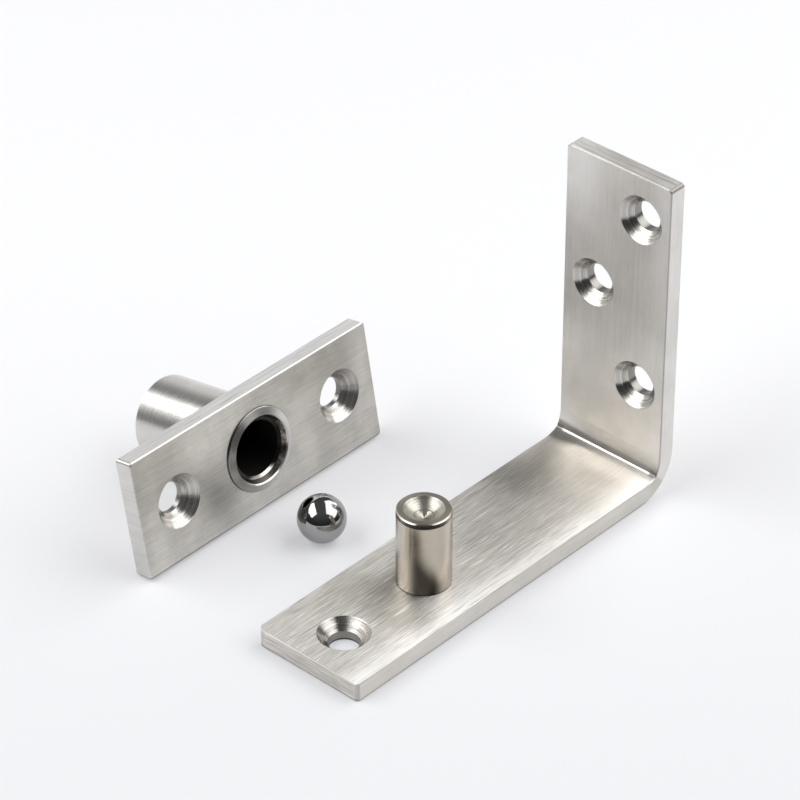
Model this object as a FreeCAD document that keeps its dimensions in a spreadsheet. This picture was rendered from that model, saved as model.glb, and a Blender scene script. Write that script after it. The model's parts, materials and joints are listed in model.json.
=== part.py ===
import FreeCAD, Part
import math
import os

import Sketcher

# Pivot hinge for a door, laid out in its separate pieces: an angle bracket with its pivot pin,
# a loose bearing ball, and a socket plate with its barrel that leans on the barrel's end.
# Millimetres. The origin is on the pin's axis at the underside of the bracket's lying leg,
# +X runs along that leg to the upright, +Z runs up along the pin.

SIZES = [
    # Bracket bar
    ("bar_width", 25.0, "width of the bracket's bar"),
    ("bar_thickness", 3.9, "thickness of the bracket's bar"),
    ("bar_shift", 0.3, "middle of the bar to the far side of the pin's axis"),
    ("toe_reach", 31.1, "pin axis to the free end of the lying leg"),
    ("heel_reach", 57.4, "pin axis to the back face of the upright"),
    ("upright_height", 68.6, "underside of the leg to the top of the upright"),
    ("bend_outside", 9.0, "outer radius of the bend"),
    ("bend_inside", 7.5, "inner radius of the bend on both sides of its crease"),
    ("crease_radius", 0.8, "radius of the crease that the press left along the bend"),
    ("crease_angle", 35.0, "how much of the bend's right angle lies in the crease"),
    ("bar_corner", 0.9, "rounding of the bar's end corners"),
    ("toe_corner", 1.7, "rounding of the far corner at the free end"),
    ("bar_edge", 0.2, "broken edge round the bar's broad faces"),
    # Bracket screw holes
    ("screw_hole", 6.0, "through diameter of every screw hole"),
    ("bar_sink", 10.1, "diameter of the bracket's countersinks at the face"),
    ("bar_sink_angle", 90.0, "included angle of the bracket's countersinks"),
    ("toe_hole_reach", 21.6, "pin axis to the screw hole near the free end"),
    ("upright_hole_low", 22.4, "height of the lowest hole in the upright"),
    ("upright_hole_top", 9.2, "highest hole below the upright's top; the middle one is halfway"),
    ("upright_hole_near", 5.2, "offset of the two outer holes to the near side"),
    ("upright_hole_far", 5.6, "offset of the middle hole to the far side"),
    # Pivot pin
    ("pin_diameter", 10.5, "pin above the leg"),
    ("pin_height", 16.3, "top of the leg to the pin's rim"),
    ("pin_neck_inset", 0.3, "how far the neck under the pin's rim draws in"),
    ("pin_neck_height", 1.1, "pin's rim to the foot of the neck"),
    ("pin_rim_height", 0.45, "pin's rim to the neck's narrowest place"),
    ("pin_rim_inset", 0.05, "rim's outer edge inside the pin's side"),
    ("pin_rim_edge", 0.25, "broken edge of the pin's rim"),
    ("shank_diameter", 8.0, "reduced shank in the leg"),
    ("shank_gap", 0.02, "clearance round the shank in its hole"),
    ("rivet_depth", 1.0, "depth of the spread end of the shank"),
    ("cup_diameter", 7.8, "rim of the ball cup in the pin's top"),
    ("cup_play", 0.15, "how much the cup's radius exceeds the ball's"),
    ("dimple_diameter", 3.6, "mouth of the centre dimple in the cup"),
    ("dimple_depth", 0.9, "depth of that dimple"),
    # Bearing ball
    ("ball_diameter", 9.525, "bearing ball"),
    ("ball_x", 0.05, "where the ball lies"),
    ("ball_y", 25.95, "where the ball lies"),
    # Socket plate
    ("plate_length", 63.4, "length of the socket plate"),
    ("plate_width", 24.8, "width of the socket plate"),
    ("plate_thickness", 3.9, "thickness of the socket plate"),
    ("plate_corner", 0.7, "rounding of the plate's corners"),
    ("plate_edge", 0.2, "broken edge round the plate's broad faces"),
    ("plate_sink", 10.8, "diameter of the plate's countersinks at the face"),
    ("plate_sink_angle", 82.0, "included angle of the plate's countersinks"),
    ("left_hole_along", 21.5, "bore axis to the left screw hole"),
    ("left_hole_drop", 0.45, "left hole below the bore's level"),
    ("right_hole_along", 22.4, "bore axis to the right screw hole"),
    ("right_hole_rise", 0.6, "right hole above the bore's level"),
    # Socket barrel
    ("barrel_diameter", 17.0, "outside of the barrel"),
    ("barrel_edge", 0.2, "chamfer at the barrel's closed end"),
    ("barrel_floor", 2.4, "metal left behind the tip of the bore"),
    ("barrel_gap", 0.02, "clearance round the barrel in the plate"),
    ("rim_proud", 0.85, "how far the rim's crest stands out of the plate"),
    ("rim_fall", 0.5, "how much lower the rim is at its outer edge"),
    ("rim_edge", 0.15, "broken outer edge of the rim"),
    ("mouth_diameter", 13.6, "mouth of the bore"),
    ("mouth_edge", 0.2, "broken inner edge of the rim"),
    ("mouth_draft", 0.6, "how far the mouth's wall draws in to its foot"),
    ("mouth_wall", 1.15, "rim's crest to the foot of the mouth's wall"),
    ("throat_depth", 1.5, "rim's crest to the start of the straight bore"),
    ("pin_play", 0.3, "clearance round the pin in the bore"),
    ("bore_tip_angle", 118.0, "drill point at the end of the bore"),
    ("closing_gap", 0.9, "rim's crest to leg when the hinge is put together"),
    # How the socket lies
    ("socket_x", 0.25, "bore axis at the plate's face"),
    ("socket_y", 42.25, "bore axis at the plate's face"),
    ("socket_turn", 0.15, "turn of the plate about the vertical, degrees"),
]

doc = FreeCAD.newDocument("PivotHinge")
sheet = doc.addObject("Spreadsheet::Sheet", "Sizes")
for row, (alias, value, note) in enumerate(SIZES, start=1):
    sheet.set("A%d" % row, alias)
    sheet.set("B%d" % row, str(value))
    sheet.set("C%d" % row, note)
    sheet.setAlias("B%d" % row, alias)
doc.recompute()


def amount(text):
    """Value of an expression in the sheet's sizes."""
    return float(sheet.evalExpression(text))


# Sizes that follow from the sheet
PIN_RADIUS = "Sizes.pin_diameter / 2"
SHANK_RADIUS = "Sizes.shank_diameter / 2"
PIN_TOP = "Sizes.bar_thickness + Sizes.pin_height"
BALL_RADIUS = "(Sizes.ball_diameter / 2)"
CUP_RADIUS = "(%s + Sizes.cup_play)" % BALL_RADIUS
CUP_RISE = "sqrt(%s ^ 2 - (Sizes.cup_diameter / 2) ^ 2)" % CUP_RADIUS
DIMPLE_RISE = "sqrt(%s ^ 2 - (Sizes.dimple_diameter / 2) ^ 2)" % CUP_RADIUS
BARREL_RADIUS = "Sizes.barrel_diameter / 2"
MOUTH_RADIUS = "Sizes.mouth_diameter / 2"
BORE_RADIUS = "(Sizes.pin_diameter / 2 + Sizes.pin_play)"

# The ball rests on the dimple's rim: its lowest point lies this far below the pin's top.
BALL_SEAT = "(%s - %s + %s - sqrt(%s ^ 2 - (Sizes.dimple_diameter / 2) ^ 2))" % (
    DIMPLE_RISE, CUP_RISE, BALL_RADIUS, BALL_RADIUS)

# The bore is as deep as the pin and the ball need, from the ball's seat to the drill point.
BALL_STACK = "(%s / sin(Sizes.bore_tip_angle / 2) + %s - %s)" % (BALL_RADIUS, BALL_RADIUS, BALL_SEAT)
BORE_TIP = "(Sizes.rim_proud - (Sizes.pin_height - Sizes.closing_gap + %s))" % BALL_STACK
BORE_FOOT = "(%s + %s / tan(Sizes.bore_tip_angle / 2))" % (BORE_TIP, BORE_RADIUS)
BARREL_END = "(%s - Sizes.barrel_floor)" % BORE_TIP


def body_named(label):
    body = doc.addObject("PartDesign::Body", label)
    body.Label = label
    return body


def sketch_on(body, name, role, lift=None):
    """Sketch on one of the body's own origin planes, lifted along that plane's normal."""
    sketch = body.newObject("Sketcher::SketchObject", name)
    plane = next(f for f in body.Origin.OriginFeatures if f.Role == role)
    sketch.AttachmentSupport = [(plane, "")]
    sketch.MapMode = "FlatFace"
    if lift is not None:
        sketch.setExpression("AttachmentOffset.Base.z", lift)
    return sketch


def pin_down(sketch, geometry, end, across, up):
    """Hold a point of the sketch at two named distances from the origin."""
    for kind, text in (("DistanceX", across), ("DistanceY", up)):
        number = sketch.addConstraint(Sketcher.Constraint(kind, -1, 1, geometry, end, amount(text)))
        sketch.setExpression("Constraints[%d]" % number, text)


def outline(sketch, corners, arcs=None):
    """Closed outline through the corners, with an arc instead of a line where one is given.

    arcs maps the number of a side to (radius, middle across, middle up): the arc's radius
    and a point that it bows through.
    """
    arcs = arcs or {}
    count = len(corners)
    spots = [FreeCAD.Vector(amount(a), amount(b), 0) for a, b in corners]
    sides = []
    for side in range(count):
        start = spots[side]
        finish = spots[(side + 1) % count]
        if side in arcs:
            radius, across, up = arcs[side]
            middle = FreeCAD.Vector(amount(across), amount(up), 0)
            sides.append(Part.Arc(start, middle, finish))
        else:
            sides.append(Part.LineSegment(start, finish))
    sketch.addGeometry(sides, False)
    heads = []
    tails = []
    for side in range(count):
        # An arc that was drawn clockwise is stored the other way round.
        swapped = side in arcs and sketch.getPoint(side, 1).distanceToPoint(spots[side]) > 1e-6
        heads.append(2 if swapped else 1)
        tails.append(1 if swapped else 2)
    for side in range(count):
        after = (side + 1) % count
        sketch.addConstraint(Sketcher.Constraint("Coincident", side, tails[side], after, heads[after]))
    for side, (across, up) in enumerate(corners):
        pin_down(sketch, side, heads[side], across, up)
    for side, (radius, across, up) in arcs.items():
        number = sketch.addConstraint(Sketcher.Constraint("Radius", side, amount(radius)))
        sketch.setExpression("Constraints[%d]" % number, radius)


def circles(sketch, diameter, centres):
    """Circles of one diameter at the given centres."""
    for number, (across, up) in enumerate(centres):
        middle = FreeCAD.Vector(amount(across), amount(up), 0)
        sketch.addGeometry(Part.Circle(middle, FreeCAD.Vector(0, 0, 1), amount(diameter) / 2), False)
        pin_down(sketch, number, 3, across, up)
        bound = sketch.addConstraint(Sketcher.Constraint("Diameter", number, amount(diameter)))
        sketch.setExpression("Constraints[%d]" % bound, diameter)


def hole(body, name, sketch, diameter, sink=None, sink_angle=None, upward=False):
    """Through hole at each circle of the sketch, countersunk where a sink is given."""
    doc.recompute()
    before = body.Shape.Volume
    feature = body.newObject("PartDesign::Hole", name)
    feature.Profile = sketch
    feature.DepthType = "ThroughAll"
    feature.Reversed = upward
    feature.setExpression("Diameter", diameter)
    if sink is not None:
        feature.HoleCutType = "Countersink"
        feature.setExpression("HoleCutDiameter", sink)
        feature.setExpression("HoleCutCountersinkAngle", sink_angle)
    doc.recompute()
    if not before - body.Shape.Volume > 1.0:
        raise RuntimeError("hole %s removes nothing" % name)
    return feature


def turned(body, sketch, name):
    """Solid of revolution about the sketch's upright axis."""
    feature = body.newObject("PartDesign::Revolution", name)
    feature.Profile = sketch
    feature.ReferenceAxis = (sketch, ["V_Axis"])
    feature.Angle = 360.0
    doc.recompute()
    return feature


def same(first, second):
    return abs(first - second) < 1e-5


def edge_names(shape, wanted):
    return ["Edge%d" % n for n, edge in enumerate(shape.Edges, start=1) if wanted(edge)]


def dress(body, kind, name, names, quantity, text):
    """Fillet or chamfer on the named edges of the body's last feature."""
    feature = body.newObject(kind, name)
    feature.Base = (feature.BaseFeature or body.Tip, names)
    feature.setExpression(quantity, text)
    doc.recompute()
    return feature


def broad_rim(shape, is_broad):
    """Edges with a broad face on one side only."""
    def wanted(edge):
        beside = [is_broad(face) for face in shape.ancestorsOfType(edge, Part.Face)]
        return beside.count(True) == 1 and len(beside) == 2
    return edge_names(shape, wanted)


# The bend's inner face, measured from the corner where the leg's top and the upright would meet:
# a wide arc from the leg, the tight arc of the crease, and the same wide arc up to the upright.
WIDE_TURN = "((90 - Sizes.crease_angle) / 2)"
WIDE_REACH = "(Sizes.bend_inside + (Sizes.bend_inside - Sizes.crease_radius) * (sin(%s) - cos(%s)))" % (
    WIDE_TURN, WIDE_TURN)
WIDE_RISE = "(Sizes.bend_inside * (1 - cos(%s)))" % WIDE_TURN
WIDE_STOP = "(%s - Sizes.bend_inside * sin(%s))" % (WIDE_REACH, WIDE_TURN)
WIDE_MIDDLE_RISE = "(Sizes.bend_inside * (1 - cos(%s / 2)))" % WIDE_TURN
WIDE_MIDDLE_STOP = "(%s - Sizes.bend_inside * sin(%s / 2))" % (WIDE_REACH, WIDE_TURN)
CREASE_MIDDLE = "(Sizes.bend_inside - (Sizes.bend_inside - Sizes.crease_radius) * cos(%s)" \
    " - Sizes.crease_radius * sqrt(0.5))" % WIDE_TURN

# Angle bracket: a flat bar bent up at the heel
bracket = body_named("angle_bracket")
side_view = sketch_on(bracket, "BarSideView", "XZ_Plane", "-Sizes.bar_shift")
HEEL = "Sizes.heel_reach"
INNER_FACE = "Sizes.heel_reach - Sizes.bar_thickness"
outline(
    side_view,
    [
        ("-Sizes.toe_reach", "0"),
        (HEEL + " - Sizes.bend_outside", "0"),
        (HEEL, "Sizes.bend_outside"),
        (HEEL, "Sizes.upright_height"),
        (INNER_FACE, "Sizes.upright_height"),
        (INNER_FACE, "Sizes.bar_thickness + " + WIDE_REACH),
        (INNER_FACE + " - " + WIDE_RISE, "Sizes.bar_thickness + " + WIDE_STOP),
        (INNER_FACE + " - " + WIDE_STOP, "Sizes.bar_thickness + " + WIDE_RISE),
        (INNER_FACE + " - " + WIDE_REACH, "Sizes.bar_thickness"),
        ("-Sizes.toe_reach", "Sizes.bar_thickness"),
    ],
    {
        1: ("Sizes.bend_outside",
            HEEL + " - Sizes.bend_outside * (1 - sqrt(0.5))",
            "Sizes.bend_outside * (1 - sqrt(0.5))"),
        5: ("Sizes.bend_inside",
            INNER_FACE + " - " + WIDE_MIDDLE_RISE,
            "Sizes.bar_thickness + " + WIDE_MIDDLE_STOP),
        6: ("Sizes.crease_radius",
            INNER_FACE + " - " + CREASE_MIDDLE,
            "Sizes.bar_thickness + " + CREASE_MIDDLE),
        7: ("Sizes.bend_inside",
            INNER_FACE + " - " + WIDE_MIDDLE_STOP,
            "Sizes.bar_thickness + " + WIDE_MIDDLE_RISE),
    },
)
bar = bracket.newObject("PartDesign::Pad", "Bar")
bar.Profile = side_view
bar.SideType = "Symmetric"
bar.setExpression("Length", "Sizes.bar_width")
doc.recompute()


def bar_corner(edge):
    """The short edges across the bar's thickness at its two ends."""
    middle = edge.CenterOfMass
    aside = abs(middle.y - amount("Sizes.bar_shift"))
    if not same(aside, amount("Sizes.bar_width") / 2) or len(edge.Vertexes) != 2:
        return False
    if not same(edge.Length, amount("Sizes.bar_thickness")):
        return False
    return same(middle.x, -amount("Sizes.toe_reach")) or same(middle.z, amount("Sizes.upright_height"))


def bar_broad(face):
    """Faces of the bar's two broad sides: they run straight across the width."""
    across = face.normalAt(*[sum(pair) / 2 for pair in zip(face.ParameterRange[::2], face.ParameterRange[1::2])])
    middle = face.CenterOfMass
    at_end = same(middle.x, -amount("Sizes.toe_reach")) or same(middle.z, amount("Sizes.upright_height"))
    wide = face.BoundBox.YLength > amount("Sizes.bar_width") - 4 * amount("Sizes.bar_corner")
    return abs(across.y) < 1e-6 and not at_end and wide


def toe_corner(edge):
    """The one of those edges at the far corner of the free end."""
    middle = edge.CenterOfMass
    return bar_corner(edge) and middle.x < 0 and middle.y > amount("Sizes.bar_shift")


dress(bracket, "PartDesign::Fillet", "ToeCorner", edge_names(bar.Shape, toe_corner),
      "Radius", "Sizes.toe_corner")
dress(bracket, "PartDesign::Fillet", "BarCorners", edge_names(bracket.Shape, bar_corner),
      "Radius", "Sizes.bar_corner")
dress(bracket, "PartDesign::Chamfer", "BarEdges", broad_rim(bracket.Shape, bar_broad),
      "Size", "Sizes.bar_edge")

pin_hole = sketch_on(bracket, "PinHoleCentre", "XY_Plane")
circles(pin_hole, "Sizes.shank_diameter + 2 * Sizes.shank_gap", [("0", "0")])
hole(bracket, "PinHole", pin_hole, "Sizes.shank_diameter + 2 * Sizes.shank_gap",
     "Sizes.shank_diameter + 2 * Sizes.shank_gap + 2 * Sizes.rivet_depth", "90", upward=True)

toe_hole = sketch_on(bracket, "ToeHoleCentre", "XY_Plane", "Sizes.bar_thickness")
circles(toe_hole, "Sizes.screw_hole", [("-Sizes.toe_hole_reach", "0")])
hole(bracket, "ToeHole", toe_hole, "Sizes.screw_hole", "Sizes.bar_sink", "Sizes.bar_sink_angle")

upright_holes = sketch_on(bracket, "UprightHoleCentres", "YZ_Plane", INNER_FACE)
HIGH_HOLE = "Sizes.upright_height - Sizes.upright_hole_top"
circles(upright_holes, "Sizes.screw_hole", [
    ("-Sizes.upright_hole_near", "Sizes.upright_hole_low"),
    ("Sizes.upright_hole_far", "(Sizes.upright_hole_low + %s) / 2" % HIGH_HOLE),
    ("-Sizes.upright_hole_near", HIGH_HOLE),
])
hole(bracket, "UprightHoles", upright_holes, "Sizes.screw_hole",
     "Sizes.bar_sink", "Sizes.bar_sink_angle", upward=True)

# Pivot pin: turned, riveted through the leg, with a ball cup and a centre dimple on top
pin = body_named("pivot_pin")
pin_profile = sketch_on(pin, "PinProfile", "XZ_Plane")
CUP_FLOOR = "%s + %s - %s" % (PIN_TOP, CUP_RISE, DIMPLE_RISE)
outline(
    pin_profile,
    [
        ("0", "0"),
        (SHANK_RADIUS + " + Sizes.rivet_depth", "0"),
        (SHANK_RADIUS, "Sizes.rivet_depth"),
        (SHANK_RADIUS, "Sizes.bar_thickness"),
        (PIN_RADIUS, "Sizes.bar_thickness"),
        (PIN_RADIUS, PIN_TOP + " - Sizes.pin_neck_height"),
        (PIN_RADIUS + " - Sizes.pin_neck_inset", PIN_TOP + " - Sizes.pin_rim_height"),
        (PIN_RADIUS + " - Sizes.pin_rim_inset", PIN_TOP + " - Sizes.pin_rim_edge"),
        (PIN_RADIUS + " - Sizes.pin_rim_inset - Sizes.pin_rim_edge", PIN_TOP),
        ("Sizes.cup_diameter / 2", PIN_TOP),
        ("Sizes.dimple_diameter / 2", CUP_FLOOR),
        ("0", CUP_FLOOR + " - Sizes.dimple_depth"),
    ],
    {
        9: (CUP_RADIUS,
            "(Sizes.cup_diameter + Sizes.dimple_diameter) / 4",
            "%s + %s - sqrt(%s ^ 2 - ((Sizes.cup_diameter + Sizes.dimple_diameter) / 4) ^ 2)"
            % (PIN_TOP, CUP_RISE, CUP_RADIUS)),
    },
)
turned(pin, pin_profile, "Pin")

# Bearing ball
ball = doc.addObject("Part::Sphere", "steel_ball")
ball.Label = "steel_ball"
ball.setExpression("Radius", BALL_RADIUS)
ball.setExpression("Placement.Base.x", "Sizes.ball_x")
ball.setExpression("Placement.Base.y", "Sizes.ball_y")
ball.setExpression("Placement.Base.z", BALL_RADIUS)

# Socket plate, drawn about the bore's axis with its front face at height 0
plate = body_named("socket_plate")
plate_face = sketch_on(plate, "PlateFace", "XY_Plane")
outline(
    plate_face,
    [
        ("-Sizes.plate_length / 2", "-Sizes.plate_width / 2"),
        ("Sizes.plate_length / 2", "-Sizes.plate_width / 2"),
        ("Sizes.plate_length / 2", "Sizes.plate_width / 2"),
        ("-Sizes.plate_length / 2", "Sizes.plate_width / 2"),
    ],
)
slab = plate.newObject("PartDesign::Pad", "Plate")
slab.Profile = plate_face
slab.Reversed = True
slab.setExpression("Length", "Sizes.plate_thickness")
doc.recompute()


def plate_corner(edge):
    """The four short edges across the plate's thickness."""
    middle = edge.CenterOfMass
    return same(abs(middle.x), amount("Sizes.plate_length") / 2) and same(
        abs(middle.y), amount("Sizes.plate_width") / 2)


def plate_broad(face):
    middle = face.CenterOfMass
    return same(middle.z, 0) or same(middle.z, -amount("Sizes.plate_thickness"))


dress(plate, "PartDesign::Fillet", "PlateCorners", edge_names(slab.Shape, plate_corner),
      "Radius", "Sizes.plate_corner")
dress(plate, "PartDesign::Chamfer", "PlateEdges", broad_rim(plate.Shape, plate_broad),
      "Size", "Sizes.plate_edge")

barrel_hole = sketch_on(plate, "BarrelHoleCentre", "XY_Plane")
circles(barrel_hole, "Sizes.barrel_diameter + 2 * Sizes.barrel_gap", [("0", "0")])
hole(plate, "BarrelHole", barrel_hole, "Sizes.barrel_diameter + 2 * Sizes.barrel_gap")

plate_holes = sketch_on(plate, "PlateHoleCentres", "XY_Plane")
circles(plate_holes, "Sizes.screw_hole", [
    ("-Sizes.left_hole_along", "-Sizes.left_hole_drop"),
    ("Sizes.right_hole_along", "Sizes.right_hole_rise"),
])
hole(plate, "PlateHoles", plate_holes, "Sizes.screw_hole", "Sizes.plate_sink", "Sizes.plate_sink_angle")

# Socket barrel: a turned cup pressed through the plate, its rim standing out of the face
barrel = body_named("socket_barrel")
barrel_profile = sketch_on(barrel, "BarrelProfile", "XZ_Plane")
outline(
    barrel_profile,
    [
        ("0", BARREL_END),
        (BARREL_RADIUS + " - Sizes.barrel_edge", BARREL_END),
        (BARREL_RADIUS, BARREL_END + " + Sizes.barrel_edge"),
        (BARREL_RADIUS, "Sizes.rim_proud - Sizes.rim_fall - Sizes.rim_edge"),
        (BARREL_RADIUS + " - Sizes.rim_edge", "Sizes.rim_proud - Sizes.rim_fall"),
        (MOUTH_RADIUS + " + Sizes.mouth_edge", "Sizes.rim_proud"),
        (MOUTH_RADIUS, "Sizes.rim_proud - Sizes.mouth_edge"),
        (MOUTH_RADIUS + " - Sizes.mouth_draft", "Sizes.rim_proud - Sizes.mouth_wall"),
        (BORE_RADIUS, "Sizes.rim_proud - Sizes.throat_depth"),
        (BORE_RADIUS, BORE_FOOT),
        ("0", BORE_TIP),
    ],
)
turned(barrel, barrel_profile, "Barrel")

# The socket lies on two lines: the plate's lower back edge and the barrel's closed end.
lean = math.atan2(
    amount("Sizes.plate_width / 2 - " + BARREL_RADIUS),
    amount("-Sizes.plate_thickness - %s - Sizes.barrel_edge + Sizes.plate_edge" % BARREL_END))
lift = amount("Sizes.plate_width / 2") * math.cos(lean)
lift += amount("Sizes.plate_thickness - Sizes.plate_edge") * math.sin(lean)
upright = FreeCAD.Rotation(FreeCAD.Vector(1, 0, 0), 90 - math.degrees(lean))
turn = FreeCAD.Rotation(FreeCAD.Vector(0, 0, 1), amount("Sizes.socket_turn"))
lying = FreeCAD.Placement(
    FreeCAD.Vector(amount("Sizes.socket_x"), amount("Sizes.socket_y"), lift),
    turn.multiply(upright))
plate.Placement = lying
barrel.Placement = lying
doc.recompute()

# Every feature must have built, and every piece must be one sound solid
for thing in doc.Objects:
    if "Invalid" in thing.State or "Error" in thing.State:
        raise RuntimeError("%s did not build: %s" % (thing.Name, thing.State))
pieces = [bracket, pin, ball, plate, barrel]
for piece in pieces:
    shape = piece.Shape
    if shape.isNull() or not shape.isValid() or len(shape.Solids) != 1:
        raise RuntimeError("%s is not one valid solid" % piece.Label)

os.makedirs("parts", exist_ok=True)
for piece in pieces:
    piece.Shape.exportStep("parts/%s.step" % piece.Label)
    box = piece.Shape.BoundBox
    print("%-14s volume %9.2f  x %7.2f %7.2f  y %7.2f %7.2f  z %7.2f %7.2f" % (
        piece.Label, piece.Shape.Volume, box.XMin, box.XMax, box.YMin, box.YMax, box.ZMin, box.ZMax))
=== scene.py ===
"""Steel finishes, stage and camera for a pivot hinge that is laid out in its pieces."""

import functools
import json
import math

import bpy
from mathutils import Matrix, Vector


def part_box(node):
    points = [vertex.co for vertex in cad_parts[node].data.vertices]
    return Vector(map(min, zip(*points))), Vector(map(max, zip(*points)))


bl_info = {
    "name": "Pivot Hinge Finishes",
    "version": (1, 0, 0),
    "blender": (4, 5, 0),
    "location": "3D View > Sidebar > Pivot Hinge",
    "description": "Brushed, turned and polished steel for a pivot hinge, with its stage",
    "category": "Material",
}

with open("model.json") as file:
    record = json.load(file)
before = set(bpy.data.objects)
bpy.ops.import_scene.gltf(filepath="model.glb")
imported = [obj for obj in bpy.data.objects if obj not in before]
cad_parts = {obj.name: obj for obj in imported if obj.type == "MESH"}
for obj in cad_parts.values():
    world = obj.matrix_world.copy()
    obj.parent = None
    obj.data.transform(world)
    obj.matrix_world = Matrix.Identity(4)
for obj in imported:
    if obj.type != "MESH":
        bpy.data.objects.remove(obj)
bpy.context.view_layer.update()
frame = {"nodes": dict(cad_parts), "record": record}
NODES = frame["nodes"]
MOUNTS = {mount["name"]: mount for mount in frame["record"]["mounts"]}
MM = 1000.0
X_WAY, Y_WAY, Z_WAY = (1.0, 0.0, 0.0), (0.0, 1.0, 0.0), (0.0, 0.0, 1.0)

# Sizes of the pieces, in millimetres

SCREW_RADIUS = 3.0
CREASE_HALF_WIDTH = 0.9
CUP_RADIUS = 3.9
DIMPLE_RADIUS = 1.8
PLATE_THICKNESS = 3.9
PLATE_HALF_WIDTH = 12.4
PLATE_HALF_LENGTH = 31.7
# How far the look of a cut end, of a lowest edge and of a countersink's rim reaches
END_DEPTH = 0.12
LOW_EDGE_HEIGHT = 0.34
SINK_MARGIN = 0.15
# The barrel's places, as heights from the plate's front and radii from the axis
BORE_START = -0.72
BARREL_SHUT_END = -24.9
MOUTH_RADIUS, MOUTH_FOOT = 6.76, -0.34
THROAT_RADIUS, THROAT_TOP, THROAT_FOOT = 6.24, -0.26, -1.0
BEVEL_RADIUS, BEVEL_FOOT = 6.95, 0.1
RIM_RADIUS, RIM_FOOT, RIM_FOOT_TOP = 8.38, -0.05, 0.3

# Colours, shades and roughness of marks, and of painted light and painted shade

SINK_DARK = (0.34, 0.325, 0.30)
SINK_PALE = (0.66, 0.64, 0.61)
LAND_COLOUR = (0.34, 0.33, 0.31)
SCRATCH_COLOUR = (0.96, 0.95, 0.93)
SMUDGE_BROWN = (0.46, 0.39, 0.29)
REFLECTION_BROWN = (0.40, 0.35, 0.27)
SPECK_BROWN = (0.36, 0.32, 0.27)
TOP_EDGE_HIGHLIGHT = (0.97, 0.96, 0.94)
LEFT_END_COLOUR = (0.82, 0.81, 0.79)
MOUTH_SHADE = (0.09, 0.08, 0.07)
MOUTH_GRAINY_SHADE = (0.30, 0.27, 0.235)
THROAT_SHADE = (0.028, 0.025, 0.022)
NEAR_PAPER = (0.775, 0.78, 0.81)
FAR_PAPER = (0.98, 0.98, 0.985)
WHITE = (1.0, 1.0, 1.0)
CUT_SHADE = 0.70
EDGE_SHADE = 0.72
LOW_EDGE_SHADE = 0.3
SINK_ROUGHNESS = 0.27
LAND_ROUGHNESS = 0.34
BEND_ROUGHNESS = 0.33
WORN_ROUGHNESS = 0.6
TOP_EDGE_ROUGHNESS = 0.24
# Height of the drill's steps in a countersink, in shares of the steel's relief
DRILL_STEP_HEIGHT = 3.0
# Soft patches of painted light and painted shade: place along and across a face, reach and blur in
# millimetres, strength and colour
LEG_PAINTED_LIGHT_AND_SHADE = (
    (35.0, 9.5, 5.0, 6.5, 0.74, (0.31, 0.295, 0.27)),
    (16.0, 1.0, 3.5, 5.0, 0.34, (0.31, 0.295, 0.27)),
    (-10.0, -7.0, 3.5, 4.0, 0.34, (0.31, 0.295, 0.27)),
    (-5.0, 9.5, 3.0, 4.0, 0.35, (0.92, 0.90, 0.87)),
)
PLATE_PAINTED_LIGHT_AND_SHADE = (
    (11.0, 1.5, 6.0, 7.0, 0.40, (0.95, 0.92, 0.87)),
    (-14.5, 7.5, 4.0, 5.0, 0.85, (0.97, 0.94, 0.89)),
    (13.0, 8.6, 2.0, 3.0, 0.55, (0.46, 0.44, 0.40)),
    (-14.6, -5.5, 2.6, 3.4, 0.35, (0.50, 0.48, 0.44)),
)

# The stage, in metres, and the directions of the photograph's view

FLOOR_REACH, FLOOR_LEVEL = 6.0, -0.00003
LIGHT_DISTANCE = 0.9
PIN_FRONT = (-0.738, -0.674, 0.0)
PIN_RIGHT = (0.674, -0.738, 0.0)
AWAY_X, AWAY_Y = 0.736, 0.677
CAMERA_RIGHT = Vector((0.67436998, -0.73839353, -0.00036321))
CAMERA_UP = Vector((0.42544952, 0.38815814, 0.81751206))
CAMERA_BACK = Vector((-0.60350463, -0.55146012, 0.57591136))
CAMERA_PLACE = Vector((-0.43595652, -0.39241119, 0.45753174))


def place_of(mount):
    """Where a mount of the record is, in millimetres."""
    return Vector(MOUNTS[mount]["pos_m"]) * MM


def way_of(mount):
    """The direction of a mount's axis."""
    return Vector(MOUNTS[mount]["axis"]).normalized()


def size_of(mount, name):
    """One of a mount's sizes, in millimetres."""
    return MOUNTS[mount]["dims"][name]


def leg_top():
    """Height of the leg's top, which is the bar's thickness and the foot of the pin."""
    return place_of("pin").z - size_of("pin", "length_mm") / 2


def rgba(colour, factor=1.0):
    """A colour as a socket takes it, lighter or darker by a factor."""
    return (colour[0] * factor, colour[1] * factor, colour[2] * factor, 1.0)


# Wiring

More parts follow.
